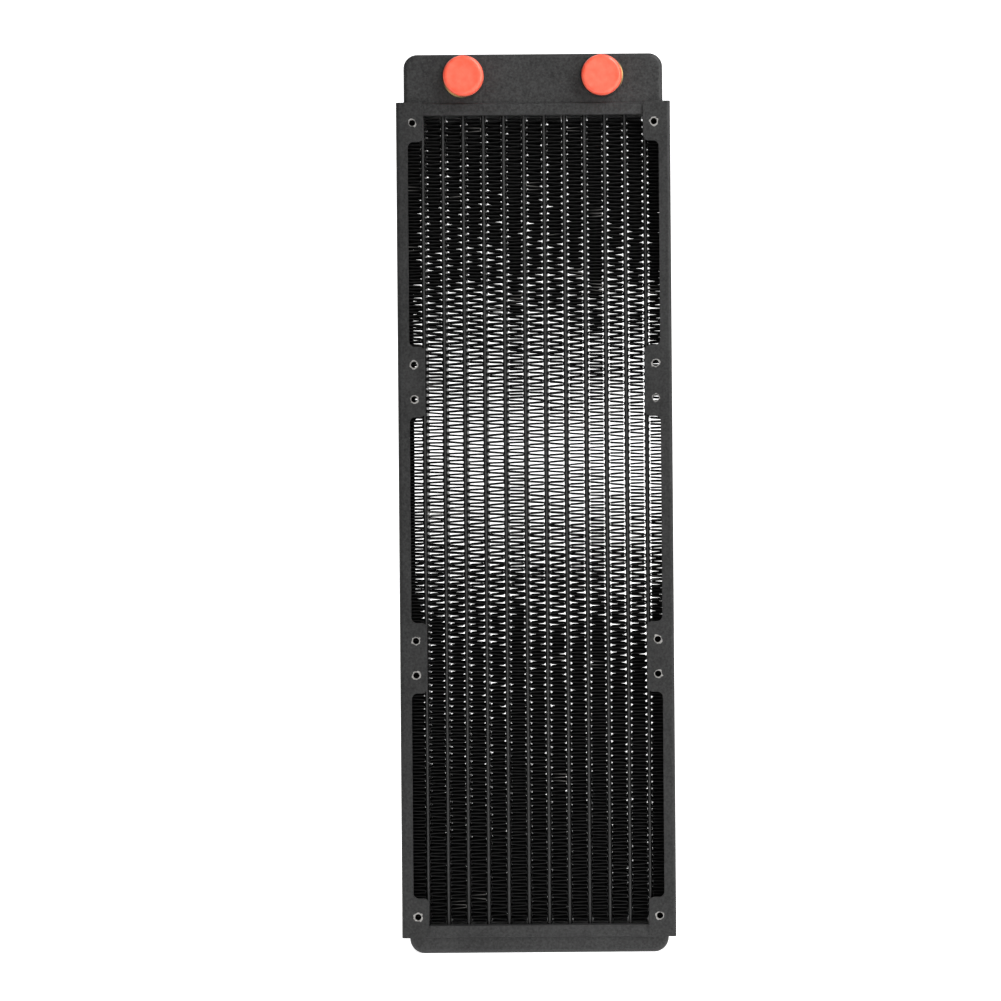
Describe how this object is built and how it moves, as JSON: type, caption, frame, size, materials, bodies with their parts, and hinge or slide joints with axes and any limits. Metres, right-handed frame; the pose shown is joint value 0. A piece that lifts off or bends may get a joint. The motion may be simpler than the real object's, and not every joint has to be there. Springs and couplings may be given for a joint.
{
  "type": "liquid cooling radiator",
  "caption": "Tall flat-tube radiator for liquid cooling, with folded fins between two black tanks, side plates with screw ears for fans, and red screw plugs in its ports.",
  "frame": {"origin": "centre of the bottom tank's flat end face, which the radiator stands on", "axes": "+X across the width, to the right seen from the ports' side; +Y through the thickness, away from the ports; +Z along the length, up to the tank with the ports"},
  "size_m": [0.1192, 0.0349, 0.391],
  "materials": {
    "tank_paint": "matte fine-grained black powder coat",
    "plate_paint": "matte fine-grained black powder coat",
    "tube_paint": "thin satin black paint",
    "fin_paint": "thin satin black paint",
    "collar_brass": "painted black outside, bare in the thread",
    "plug_plastic": "satin red-orange plastic",
    "seal_rubber": "matte black rubber"
  },
  "bodies": {
    "radiator": {"top_tank": "tank_paint", "bottom_tank": "tank_paint", "flow_divider": "tank_paint", "top_header_pan": "tank_paint", "bottom_header_pan": "tank_paint", "tube_01": "tube_paint", "tube_02": "tube_paint", "tube_03": "tube_paint", "tube_04": "tube_paint", "tube_05": "tube_paint", "tube_06": "tube_paint", "tube_07": "tube_paint", "tube_08": "tube_paint", "tube_09": "tube_paint", "tube_10": "tube_paint", "tube_11": "tube_paint", "tube_12": "tube_paint", "fin_01": "fin_paint", "fin_02": "fin_paint", "fin_03": "fin_paint", "fin_04": "fin_paint", "fin_05": "fin_paint", "fin_06": "fin_paint", "fin_07": "fin_paint", "fin_08": "fin_paint", "fin_09": "fin_paint", "fin_10": "fin_paint", "fin_11": "fin_paint", "fin_12": "fin_paint", "fin_13": "fin_paint", "support_strip_left": "tube_paint", "side_plate_left": "plate_paint", "port_collar_left": "collar_brass", "support_strip_right": "tube_paint", "side_plate_right": "plate_paint", "port_collar_right": "collar_brass"},
    "seal_left": {"seal_ring_left": "seal_rubber"},
    "plug_left": {"port_plug_left": "plug_plastic"},
    "seal_right": {"seal_ring_right": "seal_rubber"},
    "plug_right": {"port_plug_right": "plug_plastic"}
  },
  "joints": [
    {"name": "plug_left_travel", "type": "slide", "parent": "radiator", "child": "seal_left", "axis": [0, -1, 0], "range_m": [0, 0.00803]},
    {"name": "plug_left_turn", "type": "hinge", "parent": "seal_left", "child": "plug_left", "pos_m": [-0.03, -0.0146, 0.3812], "axis": [0, -1, 0], "range_deg": [0, 2160]},
    {"name": "plug_right_travel", "type": "slide", "parent": "radiator", "child": "seal_right", "axis": [0, -1, 0], "range_m": [0, 0.00803]},
    {"name": "plug_right_turn", "type": "hinge", "parent": "seal_right", "child": "plug_right", "pos_m": [0.03, -0.0146, 0.3812], "axis": [0, -1, 0], "range_deg": [0, 2160]}
  ],
  "couplings": [
    {"joint": "plug_left_travel", "follows": "plug_left_turn", "m_per_rad": 0.00021279},
    {"joint": "plug_right_travel", "follows": "plug_right_turn", "m_per_rad": 0.00021279}
  ]
}
